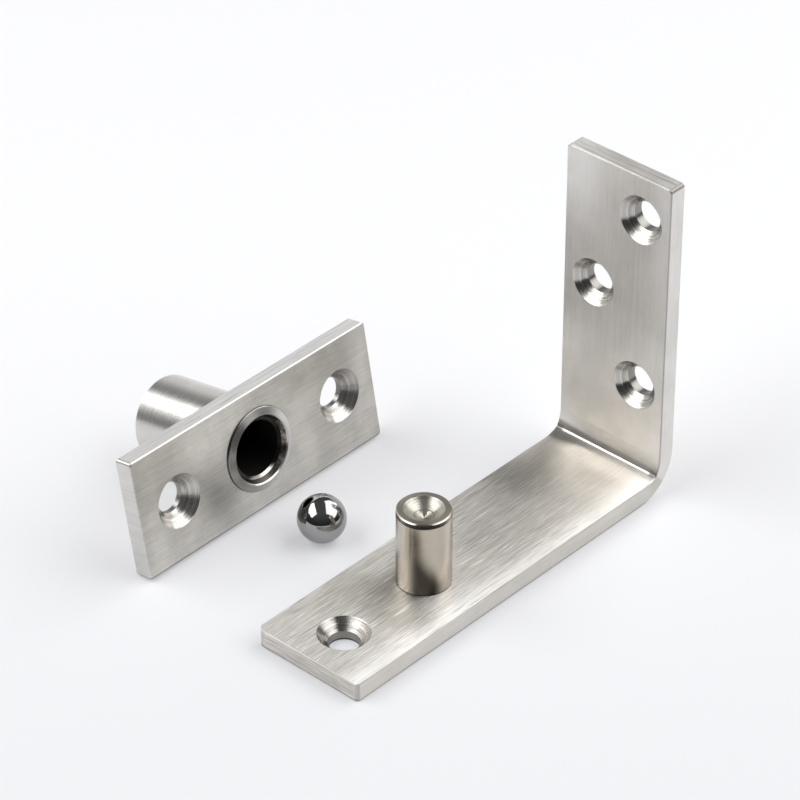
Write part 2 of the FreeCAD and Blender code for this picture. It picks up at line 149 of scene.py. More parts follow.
class Bench:
    """A node tree on the bench, with a short call for each kind of node that the finishes use."""

    def __init__(self, tree):
        self.tree = tree

    def put(self, kind, **settings):
        node = self.tree.nodes.new(kind)
        for name, value in settings.items():
            setattr(node, name, value)
        return node

    def feed(self, socket, value):
        """Wire a socket to another, or set its value."""
        if isinstance(value, bpy.types.NodeSocket):
            self.tree.links.new(value, socket)
        else:
            socket.default_value = value

    def filled(self, node, *values):
        """Feed a node's inputs in their order."""
        for socket, value in zip(node.inputs, values):
            self.feed(socket, value)
        return node

    def maths(self, operation, *values):
        return self.filled(self.put("ShaderNodeMath", operation=operation), *values).outputs[0]

    def add(self, first, second):
        return self.maths("ADD", first, second)

    def minus(self, first, second):
        return self.maths("SUBTRACT", first, second)

    def times(self, first, *others):
        """Product of two or more values or masks."""
        for other in others:
            first = self.maths("MULTIPLY", first, other)
        return first

    def over(self, first, second):
        return self.maths("DIVIDE", first, second)

    def absolute(self, value):
        return self.maths("ABSOLUTE", value)

    def not_(self, mask):
        return self.maths("SUBTRACT", 1.0, mask)

    def either(self, first, second):
        return self.maths("MAXIMUM", first, second)

    def vector(self, operation, *values):
        node = self.filled(self.put("ShaderNodeVectorMath", operation=operation), *values)
        return node.outputs["Value" if operation in {"DOT_PRODUCT", "LENGTH"} else "Vector"]

    def dot(self, first, second):
        return self.vector("DOT_PRODUCT", first, second)

    def cross(self, first, second):
        return self.vector("CROSS_PRODUCT", first, second)

    def scaled(self, value, factor):
        node = self.put("ShaderNodeVectorMath", operation="SCALE")
        self.feed(node.inputs[0], value)
        self.feed(node.inputs["Scale"], factor)
        return node.outputs[0]

    def ramp(self, value, low, high, start=0.0, end=1.0):
        """Smooth step of a value from start at low to end at high."""
        node = self.put("ShaderNodeMapRange", interpolation_type="SMOOTHSTEP")
        return self.filled(node, value, low, high, start, end).outputs[0]

    def below(self, value, limit, blur):
        """Mask of the places where a value is under a limit."""
        return self.ramp(value, limit - blur, limit + blur, start=1.0, end=0.0)

    def above(self, value, limit, blur):
        """Mask of the places where a value is over a limit."""
        return self.ramp(value, limit - blur, limit + blur)

    def between(self, value, low, high, blur):
        """Mask of the places where a value is over one limit and under another."""
        return self.times(self.above(value, low, blur), self.below(value, high, blur))

    def join(self, x, y, z):
        return self.filled(self.put("ShaderNodeCombineXYZ"), x, y, z).outputs[0]

    def split(self, value):
        return self.filled(self.put("ShaderNodeSeparateXYZ"), value).outputs[:3]

    def noise(self, place, detail, roughness, scale=1.0):
        node = self.put("ShaderNodeTexNoise", noise_dimensions="3D")
        self.feed(node.inputs["Vector"], place)
        self.feed(node.inputs["Scale"], scale)
        self.feed(node.inputs["Detail"], detail)
        self.feed(node.inputs["Roughness"], roughness)
        return node.outputs["Fac"]

    def blend(self, kind, sockets, factor, first, second, **settings):
        """A mix node, of which each kind of data has its own pair of inputs and its own output."""
        node = self.put("ShaderNodeMix", data_type=kind, **settings)
        first_input, second_input, output = sockets
        self.feed(node.inputs[0], factor)
        self.feed(node.inputs[first_input], first)
        self.feed(node.inputs[second_input], second)
        return node.outputs[output]

    def mix(self, factor, first, second):
        """Value that goes from the first to the second with the factor."""
        return self.blend("FLOAT", (2, 3, 0), factor, first, second)

    def mix_vector(self, factor, first, second):
        return self.blend("VECTOR", (4, 5, 1), factor, first, second)

    def tint(self, factor, first, second):
        """Colour that goes from the first to the second with the factor."""
        return self.blend("RGBA", (6, 7, 2), factor, first, second)

    def darken(self, factor, colour, shade):
        """Colour times a grey shade, as far as the factor says."""
        grey = rgba((shade, shade, shade))
        return self.blend("RGBA", (6, 7, 2), factor, colour, grey, blend_type="MULTIPLY")

    def group(self, tree, **values):
        """A group's outputs, with its inputs fed by name."""
        node = self.put("ShaderNodeGroup", node_tree=tree)
        for name, value in values.items():
            self.feed(node.inputs[name.replace("_", " ")], value)
        return node.outputs


def cleared_bench(owner):
    """The emptied node tree of a material or a world, on a bench."""
    owner.use_nodes = True
    owner.node_tree.nodes.clear()
    return Bench(owner.node_tree)


def new_group(name, inputs, outputs):
    """An empty shader group with named sockets: its bench, its inputs, and its outputs to feed."""
    tree = bpy.data.node_groups.new(name, "ShaderNodeTree")
    for label, default in inputs.items():
        kind = "NodeSocketVector" if isinstance(default, tuple) else "NodeSocketFloat"
        socket = tree.interface.new_socket(name=label, in_out="INPUT", socket_type=kind)
        socket.default_value = default
    for label in outputs:
        tree.interface.new_socket(name=label, in_out="OUTPUT", socket_type="NodeSocketFloat")
    bench = Bench(tree)
    start = bench.put("NodeGroupInput")
    end = bench.put("NodeGroupOutput")
    return bench, start.outputs, end.inputs


# Effects shared by the steels

def build_brushed_lines(name):
    """Belt lines along one direction: fine, coarse, bright scratches and dark cuts, each from 0 to 1."""
    bench, given, result = new_group(
        name,
        {"Along": 0.0, "Across": 0.0, "Side": 0.0, "Line Width": 0.15, "Line Length": 12.0},
        ("Fine", "Coarse", "Scratches", "Cuts"),
    )
    # Each kind's width and length as shares of the line's, its own part of the noise, and where it shows
    for label, width, length, shift, low, high in (
        ("Fine", 1.0, 1.0, 0.0, 0.30, 0.70),
        ("Coarse", 4.0, 2.2, 7.3, 0.30, 0.70),
        ("Scratches", 1.0, 0.60, 15.1, 0.57, 0.67),
        ("Cuts", 1.0, 0.50, 23.7, 0.57, 0.67),
    ):
        along = bench.over(given["Along"], bench.times(given["Line Length"], length))
        across = bench.over(given["Across"], bench.times(given["Line Width"], width))
        spot = bench.join(along, across, bench.add(given["Side"], shift))
        bench.feed(result[label], bench.ramp(bench.noise(spot, detail=1.0, roughness=0.5), low, high))
    return bench.tree


def build_turned_rings(name):
    """Cutter marks round an axis, fine ones and steps, from how far along the profile a place is."""
    bench, given, result = new_group(name, {"Reach": 0.0, "Pitch": 0.2}, ("Fine", "Steps"))
    reach = bench.over(given["Reach"], given["Pitch"])
    grooves = bench.noise(bench.join(reach, 0.0, 0.0), detail=2.0, roughness=0.7)
    bench.feed(result["Fine"], bench.ramp(grooves, 0.3, 0.7))
    wave = bench.maths("SINE", bench.times(reach, 1.9))
    bench.feed(result["Steps"], bench.ramp(wave, -0.35, 0.35))
    return bench.tree


def build_axis_distance(name):
    """How far a place is from an axis, and how far along it."""
    bench, given, result = new_group(
        name, {"Place": (0, 0, 0), "Centre": (0, 0, 0), "Axis": (0, 0, 1)}, ("Radius", "Height"))
    arm = bench.vector("SUBTRACT", given["Place"], given["Centre"])
    height = bench.dot(arm, given["Axis"])
    flat = bench.vector("SUBTRACT", arm, bench.scaled(given["Axis"], height))
    bench.feed(result["Radius"], bench.vector("LENGTH", flat))
    bench.feed(result["Height"], height)
    return bench.tree


def build_handling_marks(name):
    """Cloudy smudges left by handling, and small dull specks."""
    bench, given, result = new_group(name, {"Place": (0, 0, 0), "Size": 6.0}, ("Smudge", "Specks"))
    spread = bench.scaled(given["Place"], bench.over(1.0, given["Size"]))
    cloud = bench.noise(spread, detail=4.0, roughness=0.6)
    bench.feed(result["Smudge"], bench.ramp(cloud, 0.35, 0.65))
    grit = bench.noise(bench.scaled(given["Place"], 2.4), detail=2.0, roughness=0.7)
    bench.feed(result["Specks"], bench.ramp(grit, 0.68, 0.78))
    return bench.tree


def build_drilled_hole(name):
    """Where a screw hole's countersink and its straight land are, and the rings that the drill left."""
    bench, given, result = new_group(
        name, {"Reach": 0.0, "Depth": 1.0, "Sink Radius": 5.0}, ("Inside", "Land", "Rings", "Steps"))
    inside = bench.above(bench.minus(given["Sink Radius"], given["Reach"]), 0.0, blur=0.06)
    # Depth counts from the back face, which keeps its own look round the hole
    off_back = bench.above(given["Depth"], 0.05, blur=0.03)
    bench.feed(result["Inside"], bench.times(inside, off_back))
    bench.feed(result["Land"], bench.below(given["Reach"], SCREW_RADIUS + 0.06, blur=0.05))
    rings = effect(bench, "Turned Rings", Reach=given["Reach"], Pitch=0.36)
    bench.feed(result["Rings"], rings["Fine"])
    bench.feed(result["Steps"], rings["Steps"])
    return bench.tree


def build_soft_spot(name):
    """Round mask round a centre, full up to its reach and gone past a soft border."""
    bench, given, result = new_group(
        name, {"Along": 0.0, "Across": 0.0, "Reach": 5.0, "Blur": 3.0}, ("Mask",))
    distance = bench.vector("LENGTH", bench.join(given["Along"], given["Across"], 0.0))
    past = bench.over(bench.minus(distance, given["Reach"]), given["Blur"])
    bench.feed(result["Mask"], bench.below(past, 0.0, blur=1.0))
    return bench.tree


EFFECTS = {
    "Brushed Lines": build_brushed_lines,
    "Turned Rings": build_turned_rings,
    "Axis Distance": build_axis_distance,
    "Handling Marks": build_handling_marks,
    "Drilled Hole": build_drilled_hole,
    "Soft Spot": build_soft_spot,
}


def effect(bench, name, **values):
    """One of the shared effects on a bench. Its shader group is built on the first use."""
    tree = bpy.data.node_groups.get(name) or EFFECTS[name](name)
    return bench.group(tree, **values)


class Steel:
    """One steel finish: its material, its shader and the place and normal that its nodes start from."""

    def __init__(self, name, node_name, anisotropy):
        material = bpy.data.materials.new(name)
        self.bench = cleared_bench(material)
        self.shader = self.bench.put("ShaderNodeBsdfPrincipled")
        output = self.bench.put("ShaderNodeOutputMaterial")
        self.bench.feed(output.inputs["Surface"], self.shader.outputs[0])
        self.shader.inputs["Metallic"].default_value = 1.0
        self.shader.inputs["Anisotropic"].default_value = anisotropy
        self.place = self.bench.scaled(self.bench.put("ShaderNodeTexCoord").outputs["Object"], MM)
        for slot in NODES[node_name].material_slots:
            slot.material = material

    @functools.cached_property
    def normal(self):
        return self.bench.put("ShaderNodeNewGeometry").outputs["Normal"]

    def finish(self, colour, roughness, height, relief, along=None):
        """Feed the shader. relief is the depth of the height in metres, along the way of the lines."""
        bench = self.bench
        bench.feed(self.shader.inputs["Base Color"], colour)
        bench.feed(self.shader.inputs["Roughness"], roughness)
        bump = bench.put("ShaderNodeBump")
        bump.inputs["Distance"].default_value = relief
        bench.feed(bump.inputs["Height"], height)
        bench.feed(self.shader.inputs["Normal"], bump.outputs[0])
        if along is not None:
            bench.feed(self.shader.inputs["Tangent"], bench.cross(self.normal, along))

    def screw_holes(self, axes):
        """Distance to the nearest screw hole's axis."""
        nearest = None
        for centre, axis in axes:
            reach = effect(self.bench, "Axis Distance", Place=self.place, Centre=centre, Axis=axis)["Radius"]
            nearest = reach if nearest is None else self.bench.maths("MINIMUM", nearest, reach)
        return nearest

    def painted_light_and_shade(self, colour, along, across, tones, where):
        """Paint soft patches of light and shade on a face, each from its place, reach, blur, strength and
        colour.
        """
        bench = self.bench
        for place_along, place_across, reach, blur, strength, tone in tones:
            spot = effect(
                bench, "Soft Spot", Along=bench.minus(along, place_along),
                Across=bench.minus(across, place_across), Reach=reach, Blur=blur)
            colour = bench.tint(bench.times(spot["Mask"], strength, where), colour, rgba(tone))
        return colour

    def scratched(self, colour, lines, wear, brightness):
        """Lay the bright scratches and the dark cuts of the belt lines over a colour."""
        bench = self.bench
        scratches = bench.times(lines["Scratches"], bench.times(wear, brightness))
        colour = bench.tint(scratches, colour, rgba(SCRATCH_COLOUR))
        return bench.darken(bench.times(lines["Cuts"], wear), colour, CUT_SHADE)

    def lined_roughness(self, roughness, lines, spread):
        """Roughness that goes up and down by half of the spread with the fine lines."""
        bench = self.bench
        return bench.add(roughness, bench.times(bench.minus(lines["Fine"], 0.5), spread))

    def countersunk(self, nearest, depth, sink, dull, colour, roughness, height):
        """Lay the drilled look of the screw holes over the bar's own look, as dull as told."""
        bench = self.bench
        hole = effect(bench, "Drilled Hole", Reach=nearest, Depth=depth, Sink_Radius=sink)
        cut = bench.tint(hole["Rings"], rgba(SINK_DARK), rgba(SINK_PALE))
        cut = bench.tint(dull, cut, rgba(SINK_DARK))
        cut = bench.tint(hole["Land"], cut, rgba(LAND_COLOUR))
        colour = bench.tint(hole["Inside"], colour, cut)
        drilled = bench.mix(hole["Land"], SINK_ROUGHNESS, LAND_ROUGHNESS)
        roughness = bench.mix(hole["Inside"], roughness, drilled)
        height = bench.mix(hole["Inside"], height, bench.times(hole["Steps"], DRILL_STEP_HEIGHT))
        return colour, roughness, height


# Sizes and colours

class BracketFinish(bpy.types.PropertyGroup):
    colour: bpy.props.FloatVectorProperty(
        name="Steel Colour", description="Brushed steel of the angle bracket",
        subtype="COLOR", size=3, min=0.0, max=1.0, default=(0.74, 0.71, 0.665))
    # A painted highlight: the steel near the bend is tinted paler, more on the upright than on the leg
    bend_highlight_colour: bpy.props.FloatVectorProperty(
        name="Bend Highlight Colour", description="Brighter steel where the bar was pressed round the bend",
        subtype="COLOR", size=3, min=0.0, max=1.0, default=(0.95, 0.91, 0.85))
    # A painted highlight: the steel is tinted paler along the near edge, on the upright's side and at the
    # far top corner
    painted_highlight_colour: bpy.props.FloatVectorProperty(
        name="Painted Highlight Colour", description="Palest steel, along the near edge and at the far top corner",
        subtype="COLOR", size=3, min=0.0, max=1.0, default=(0.92, 0.90, 0.87))
    line_width: bpy.props.FloatProperty(
        name="Line Width", description="Width of the finest belt lines, in millimetres",
        min=0.02, default=0.15)
    line_length: bpy.props.FloatProperty(
        name="Line Length", description="Length of the belt lines, in millimetres",
        min=0.5, default=11.0)
    roughness: bpy.props.FloatProperty(
        name="Roughness", description="Roughness of the broad faces",
        subtype="FACTOR", min=0.0, max=1.0, default=0.46)
    sink_radius: bpy.props.FloatProperty(
        name="Countersink Radius", description="Radius of the countersinks at the face, in millimetres",
        min=0.5, default=5.05)


class PinFinish(bpy.types.PropertyGroup):
    colour: bpy.props.FloatVectorProperty(
        name="Steel Colour", description="Turned steel of the pivot pin",
        subtype="COLOR", size=3, min=0.0, max=1.0, default=(0.60, 0.56, 0.505))
    cup_colour: bpy.props.FloatVectorProperty(
        name="Cup Colour", description="Bright steel of the ball cup",
        subtype="COLOR", size=3, min=0.0, max=1.0, default=(0.51, 0.485, 0.43))
    ring_pitch: bpy.props.FloatProperty(
        name="Ring Pitch", description="Distance between the cutter's rings, in millimetres",
        min=0.02, default=0.12)
    roughness: bpy.props.FloatProperty(
        name="Roughness", description="Roughness of the pin's side",
        subtype="FACTOR", min=0.0, max=1.0, default=0.17)


class BallFinish(bpy.types.PropertyGroup):
    colour: bpy.props.FloatVectorProperty(
        name="Steel Colour", description="Mirror-polished bearing steel",
        subtype="COLOR", size=3, min=0.0, max=1.0, default=(0.35, 0.35, 0.35))
    roughness: bpy.props.FloatProperty(
        name="Roughness", description="Roughness of the ball",
        subtype="FACTOR", min=0.0, max=1.0, default=0.05)


class SocketFinish(bpy.types.PropertyGroup):
    plate_colour: bpy.props.FloatVectorProperty(
        name="Plate Colour", description="Brushed steel of the socket plate",
        subtype="COLOR", size=3, min=0.0, max=1.0, default=(0.74, 0.715, 0.67))
    plate_roughness: bpy.props.FloatProperty(
        name="Plate Roughness", description="Roughness of the socket plate",
        subtype="FACTOR", min=0.0, max=1.0, default=0.34)
    sink_radius: bpy.props.FloatProperty(
        name="Countersink Radius", description="Radius of the countersinks at the face, in millimetres",
        min=0.5, default=5.4)
    barrel_colour: bpy.props.FloatVectorProperty(
        name="Barrel Colour", description="Turned steel of the socket barrel",
        subtype="COLOR", size=3, min=0.0, max=1.0, default=(0.70, 0.685, 0.66))
    # A painted shade: the deep bore is tinted near black
    bore_shade_colour: bpy.props.FloatVectorProperty(
        name="Bore Shade Colour", description="Dark drilled wall of the bore",
        subtype="COLOR", size=3, min=0.0, max=1.0, default=(0.04, 0.038, 0.035))


class HingeStage(bpy.types.PropertyGroup):
    floor_colour: bpy.props.FloatVectorProperty(
        name="Floor Colour", description="Pale paper under the pieces",
        subtype="COLOR", size=3, min=0.0, max=1.0, default=(0.86, 0.865, 0.885))
    right_light: bpy.props.FloatProperty(
        name="Right Light", description="Power of the soft light on the right",
        unit="POWER", min=0.0, default=9.0)
    left_light: bpy.props.FloatProperty(
        name="Left Light", description="Power of the soft light on the left",
        unit="POWER", min=0.0, default=6.5)
    sky_level: bpy.props.FloatProperty(
        name="Sky Level", description="Plain light from all round",
        min=0.0, default=0.10)
    lens: bpy.props.FloatProperty(
        name="Lens", description="Focal length of the camera",
        unit="CAMERA", min=1.0, default=180.45)


# The pieces

class BracketPlaces:
    """Where a place is on the angle bracket: masks of its faces, its ends and its bend."""

    def __init__(self, steel):
        bench = steel.bench
        low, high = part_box("angle_bracket")
        self.top = high.z * MM
        self.middle = (low.y + high.y) / 2 * MM
        self.half_width = (high.y - low.y) / 2 * MM
        self.back = place_of("upright_back").x
        thickness = leg_top()
        inner_face = self.back - thickness
        self.x, self.y, self.z = bench.split(steel.place)
        facing_x, self.facing_y, _ = bench.split(steel.normal)
        self.faces_along = bench.absolute(facing_x)
        self.faces_sideways = bench.absolute(self.facing_y)

        # How far a place is past the bend's diagonal, towards the upright
        self.past_bend = bench.minus(bench.add(self.x, self.z), inner_face + thickness)
        self.from_bend = bench.absolute(self.past_bend)
        self.upright = bench.above(self.past_bend, 0.0, blur=0.6)
        self.lying = bench.not_(self.upright)
        self.side = bench.above(self.faces_sideways, 0.7, blur=0.1)
        self.not_side = bench.not_(self.side)
        self.top_end = bench.above(self.z, self.top - END_DEPTH, blur=0.08)
        self.toe_end = bench.below(self.x, low.x * MM + END_DEPTH, blur=0.08)
        self.end = bench.either(self.top_end, self.toe_end)
        self.leg_face = bench.times(self.lying, bench.not_(bench.either(self.side, self.end)))


class HINGE_OT_finish_bracket(bpy.types.Operator):
    """Brush the angle bracket along its bar, and cut the rings in its countersinks"""
    bl_idname = "hinge.finish_bracket"
    bl_label = "Finish Bracket"

    def execute(self, context):
        settings = context.scene.hinge_bracket
        steel = Steel("Bracket Steel", "angle_bracket", anisotropy=0.9)
        bench = steel.bench
        on = BracketPlaces(steel)
        lines = self.belt_lines(bench, on, settings)
        marks = effect(bench, "Handling Marks", Place=steel.place, Size=11.0)
        wear = self.line_strength(bench, on)

        base = self.bare_colour(bench, on, lines, settings)
        # Painted light and painted shade in soft patches on the leg's face
        base = steel.painted_light_and_shade(base, on.x, on.y, LEG_PAINTED_LIGHT_AND_SHADE, on.leg_face)
        base = bench.darken(bench.times(lines["Fine"], wear), base, shade=0.84)
        base = steel.scratched(base, lines, wear, brightness=0.68)
        base = bench.darken(marks["Smudge"], base, shade=0.92)
        base = bench.darken(bench.times(on.end, lines["Coarse"]), base, shade=0.80)
        base = bench.darken(bench.times(on.side, on.lying), base, shade=0.92)
        rough = steel.lined_roughness(settings.roughness, lines, spread=0.14)
        rough = bench.add(rough, bench.times(marks["Smudge"], 0.03))
        in_bend = bench.below(on.from_bend, 3.6, blur=1.4)
        rough = bench.mix(in_bend, rough, BEND_ROUGHNESS)
        height = bench.times(lines["Fine"], wear)

        nearest = steel.screw_holes(self.screws())
        from_back = bench.mix(on.upright, on.z, bench.minus(on.back, on.x))
        leg_dull = bench.times(on.lying, 0.6)
        base, rough, height = steel.countersunk(
            nearest, from_back, settings.sink_radius, leg_dull, base, rough, height)
        # The lowest edge lies in its own shade on the paper
        low_edge = bench.below(on.z, LOW_EDGE_HEIGHT, blur=0.12)
        base = bench.darken(low_edge, base, LOW_EDGE_SHADE)
        # Painted shade dims the crease's highlight near both sides of the bar
        crease_end_shade = self.crease_end_shade(bench, on)
        base = bench.darken(crease_end_shade, base, shade=0.55)
        rough = bench.mix(crease_end_shade, rough, WORN_ROUGHNESS)
        # Painted shade on the bar's edges, with rougher steel there
        edge = self.shaded_edges(bench, on, nearest, settings)
        base = bench.darken(edge, base, EDGE_SHADE)
        rough = bench.mix(edge, rough, WORN_ROUGHNESS)
        way = bench.mix_vector(on.end, bench.mix_vector(on.upright, X_WAY, Z_WAY), Y_WAY)
        steel.finish(base, rough, height, relief=0.000006, along=way)
        return {"FINISHED"}

    def belt_lines(self, bench, on, settings):
        """Belt lines along the bar, and across it on the two sheared ends."""
        along = bench.mix(on.end, bench.mix(on.upright, on.x, on.z), on.y)
        across = bench.mix(on.side, on.y, bench.mix(on.upright, on.z, on.x))
        across = bench.mix(on.end, across, bench.mix(on.toe_end, on.x, on.z))
        # Each side and each end has lines of its own
        side_shift, end_shift = 11.0, 5.0
        shift = bench.add(bench.times(on.facing_y, side_shift), bench.times(on.end, end_shift))
        return effect(
            bench, "Brushed Lines", Along=along, Across=across, Side=shift,
            Line_Width=settings.line_width, Line_Length=settings.line_length)

    def line_strength(self, bench, on):
        """The leg and the ends are scratched more than the upright and the sides, the bend less."""
        least, more, calm_share = 0.16, 0.84, 0.75
        extra = bench.add(bench.times(on.leg_face, more), bench.times(on.end, more))
        calm = bench.below(on.from_bend, 18.0, blur=14.0)
        return bench.times(bench.add(least, extra), bench.not_(bench.times(calm, calm_share)))

    def bare_colour(self, bench, on, lines, settings):
        """The bar's steel under its scratches: painted shade on the leg, painted highlights at the bend,
        near edge and far corner.
        """
        base = bench.tint(lines["Coarse"], rgba(settings.colour, 0.96), rgba(settings.colour, 1.02))
        # Painted shade over the leg's face
        base = bench.darken(on.leg_face, base, shade=0.83)
        # Painted highlight near the bend, fuller on the upright than on the leg
        bend_highlight = bench.below(bench.absolute(bench.minus(on.past_bend, 7.0)), 17.0, blur=12.0)
        bend_highlight = bench.times(bend_highlight, on.not_side, bench.mix(on.upright, 0.42, 1.0))
        base = bench.tint(bend_highlight, base, rgba(settings.bend_highlight_colour))
        # Painted highlights along the near edge, on the upright's side and at the far top corner
        leg_edge = bench.times(on.leg_face, bench.below(on.y, -9.0, blur=3.2))
        upright_edge = bench.times(on.upright, bench.below(on.y, -8.6, blur=1.8), 0.55)
        far_corner = bench.times(bench.above(on.y, 5.0, blur=6.0), bench.above(on.z, 52.0, blur=14.0))
        upright_side = bench.times(on.side, on.upright, 0.7)
        painted_highlight = bench.either(
            bench.either(leg_edge, upright_edge), bench.either(far_corner, upright_side))
        return bench.tint(painted_highlight, base, rgba(settings.painted_highlight_colour))

    def crease_end_shade(self, bench, on):
        """Painted shade that dims the bend's crease highlight before both sides of the bar."""
        off_middle = bench.absolute(bench.minus(on.y, on.middle))
        near_side = bench.above(off_middle, on.half_width - 1.7, blur=0.5)
        in_crease = bench.below(on.from_bend, CREASE_HALF_WIDTH, blur=0.3)
        return bench.times(near_side, in_crease, on.not_side)

    def shaded_edges(self, bench, on, nearest, settings):
        """Painted shade on the edges along the bar and on the upright's top lip, so they shine less than a
        cut edge.
        """
        edge = bench.times(bench.above(on.faces_sideways, 0.25, blur=0.1),
                           bench.below(on.faces_sideways, 0.93, blur=0.05))
        corner = bench.times(bench.above(on.faces_along, 0.2, blur=0.1), on.lying)
        off_holes = bench.above(nearest, settings.sink_radius + SINK_MARGIN, blur=0.1)
        edge = bench.times(edge, bench.not_(corner), off_holes)
        near_top = bench.above(on.z, on.top - 0.9, blur=0.1)
        sloping = bench.below(on.faces_along, 0.97, blur=0.02)
        top_lip = bench.times(near_top, bench.not_(on.top_end), sloping, on.not_side)
        return bench.either(edge, top_lip)

    def screws(self):
        """Axis of each screw hole, from the record's mounts."""
        line = place_of("upright_screws")
        half = Vector((0, 0, size_of("upright_screws", "spacing_y_mm") / 2))
        return [
            (place_of("toe_screw"), Z_WAY),
            (place_of("upright_middle_screw"), X_WAY),
            (line + half, X_WAY),
            (line - half, X_WAY),
        ]


class HINGE_OT_finish_pin(bpy.types.Operator):
    """Turn and polish the pivot pin, with a duller rim and a bright ball cup"""
    bl_idname = "hinge.finish_pin"
    bl_label = "Finish Pin"

    def execute(self, context):
        settings = context.scene.hinge_pin
        steel = Steel("Pin Steel", "pivot_pin", anisotropy=0.5)
        bench = steel.bench
        spot = effect(bench, "Axis Distance", Place=steel.place, Centre=(0.0, 0.0, 0.0), Axis=Z_WAY)
        radius, height = spot["Radius"], spot["Height"]
        top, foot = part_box("pivot_pin")[1].z * MM, leg_top()
        cup = bench.below(radius, CUP_RADIUS, blur=0.03)
        dimple = bench.below(radius, DIMPLE_RADIUS, blur=0.1)
        not_cup = bench.not_(cup)
        rim = bench.times(bench.above(height, top - 0.06, blur=0.03), not_cup)
        neck = bench.times(bench.below(height, top - 0.36, blur=0.06),
                           bench.above(height, top - 1.05, blur=0.08), not_cup)
        foot_shade = bench.below(height, foot + 0.2, blur=0.08)
        reach = bench.mix(bench.either(cup, rim), height, radius)
        rings = effect(bench, "Turned Rings", Reach=reach, Pitch=settings.ring_pitch)
        marks = effect(bench, "Handling Marks", Place=steel.place, Size=4.0)

        base = bench.tint(rings["Fine"], rgba(settings.colour, 0.93), rgba(settings.colour, 1.05))
        base = bench.tint(bench.times(marks["Smudge"], 0.25), base, rgba(SMUDGE_BROWN))
        # Painted reflections on the pin's front: a browner band and a dark wedge
        base = self.painted_front_reflections(steel, base, height, top, foot)
        base = bench.tint(bench.times(marks["Specks"], 0.35), base, rgba(SPECK_BROWN))
        base = bench.darken(rim, base, shade=0.76)
        base = bench.tint(cup, base, rgba(settings.cup_colour))
        base = bench.darken(bench.times(cup, marks["Smudge"]), base, shade=0.86)
        # Painted shade in a band just under the rim
        base = bench.darken(neck, base, shade=0.55)
        # Painted shade where the pin stands on the leg
        base = bench.darken(foot_shade, base, shade=0.22)
        ring_roughness, rim_roughness, cup_roughness = 0.06, 0.4, 0.36
        rough = bench.add(settings.roughness, bench.times(rings["Fine"], ring_roughness))
        rough = bench.mix(rim, rough, rim_roughness)
        rough = bench.mix(cup, rough, cup_roughness)
        ring_height, dent_height, step_height = 0.5, 24.0, 2.6
        dents = bench.noise(steel.place, detail=1.0, roughness=0.5, scale=0.9)
        dents = bench.times(dimple, bench.times(dents, dent_height))
        bumps = bench.add(bench.times(rings["Fine"], ring_height), dents)
        bumps = bench.add(bumps, bench.times(cup, bench.times(rings["Steps"], step_height)))
        way = bench.cross(Z_WAY, steel.place)
        steel.finish(base, rough, bumps, relief=0.000008, along=way)
        return {"FINISHED"}

    def painted_front_reflections(self, steel, base, height, top, foot):
        """Painted reflections on the front: a browner band, and a dark wedge that widens towards the foot.
        """
        bench = steel.bench
        front = bench.above(bench.dot(steel.place, PIN_FRONT), 0.0, blur=0.5)
        right = bench.dot(steel.place, PIN_RIGHT)
        brown = bench.times(bench.between(right, -2.9, 4.0, blur=0.9), front)
        base = bench.tint(bench.times(brown, 0.55), base, rgba(REFLECTION_BROWN))
        wedge_edge = bench.ramp(height, foot + 0.8, foot + 9.6, start=3.1, end=-1.2)
        wedge = bench.times(bench.above(right, -2.1, blur=0.9),
                            bench.below(bench.minus(right, wedge_edge), 0.0, blur=1.5),
                            front, bench.below(height, top - 2.2, blur=1.6))
        return bench.darken(wedge, base, shade=0.26)


class HINGE_OT_finish_ball(bpy.types.Operator):
    """Polish the bearing ball to a mirror, with faint lapping marks"""
    bl_idname = "hinge.finish_ball"
    bl_label = "Finish Ball"

    def execute(self, context):
        settings = context.scene.hinge_ball
        steel = Steel("Ball Steel", "steel_ball", anisotropy=0.0)
        bench = steel.bench
        marks = effect(bench, "Handling Marks", Place=steel.place, Size=2.5)
        base = bench.tint(
            bench.times(marks["Smudge"], 0.15), rgba(settings.colour), rgba(settings.colour, 0.8))
        _, _, z = bench.split(steel.place)
        # Painted shade on the ball's underside, down by the paper
        base = bench.darken(bench.below(z, 1.5, blur=0.9), base, shade=0.45)
        rough = bench.add(settings.roughness, bench.times(marks["Smudge"], 0.04))
        steel.finish(base, rough, marks["Smudge"], relief=0.00001)
        return {"FINISHED"}


class SocketAxes:
    """The socket's own directions from the plate's front at its axis: along it, up it and out of it."""

    def __init__(self, steel):
        self.bench = steel.bench
        self.out = way_of("socket_bore")
        if self.out.y > 0:
            self.out.negate()
        self.along = Vector((-self.out.y, self.out.x, 0.0)).normalized()
        self.up = self.out.cross(self.along)
        back, bore = place_of("socket_back"), place_of("socket_bore")
        self.centre = bore + self.out * ((back - bore).dot(self.out) + PLATE_THICKNESS)
        self.arm = self.bench.vector("SUBTRACT", steel.place, self.centre)

    def reach(self, way):
        """How far a place is from the centre in one of the socket's directions."""
        return self.bench.dot(self.arm, way)


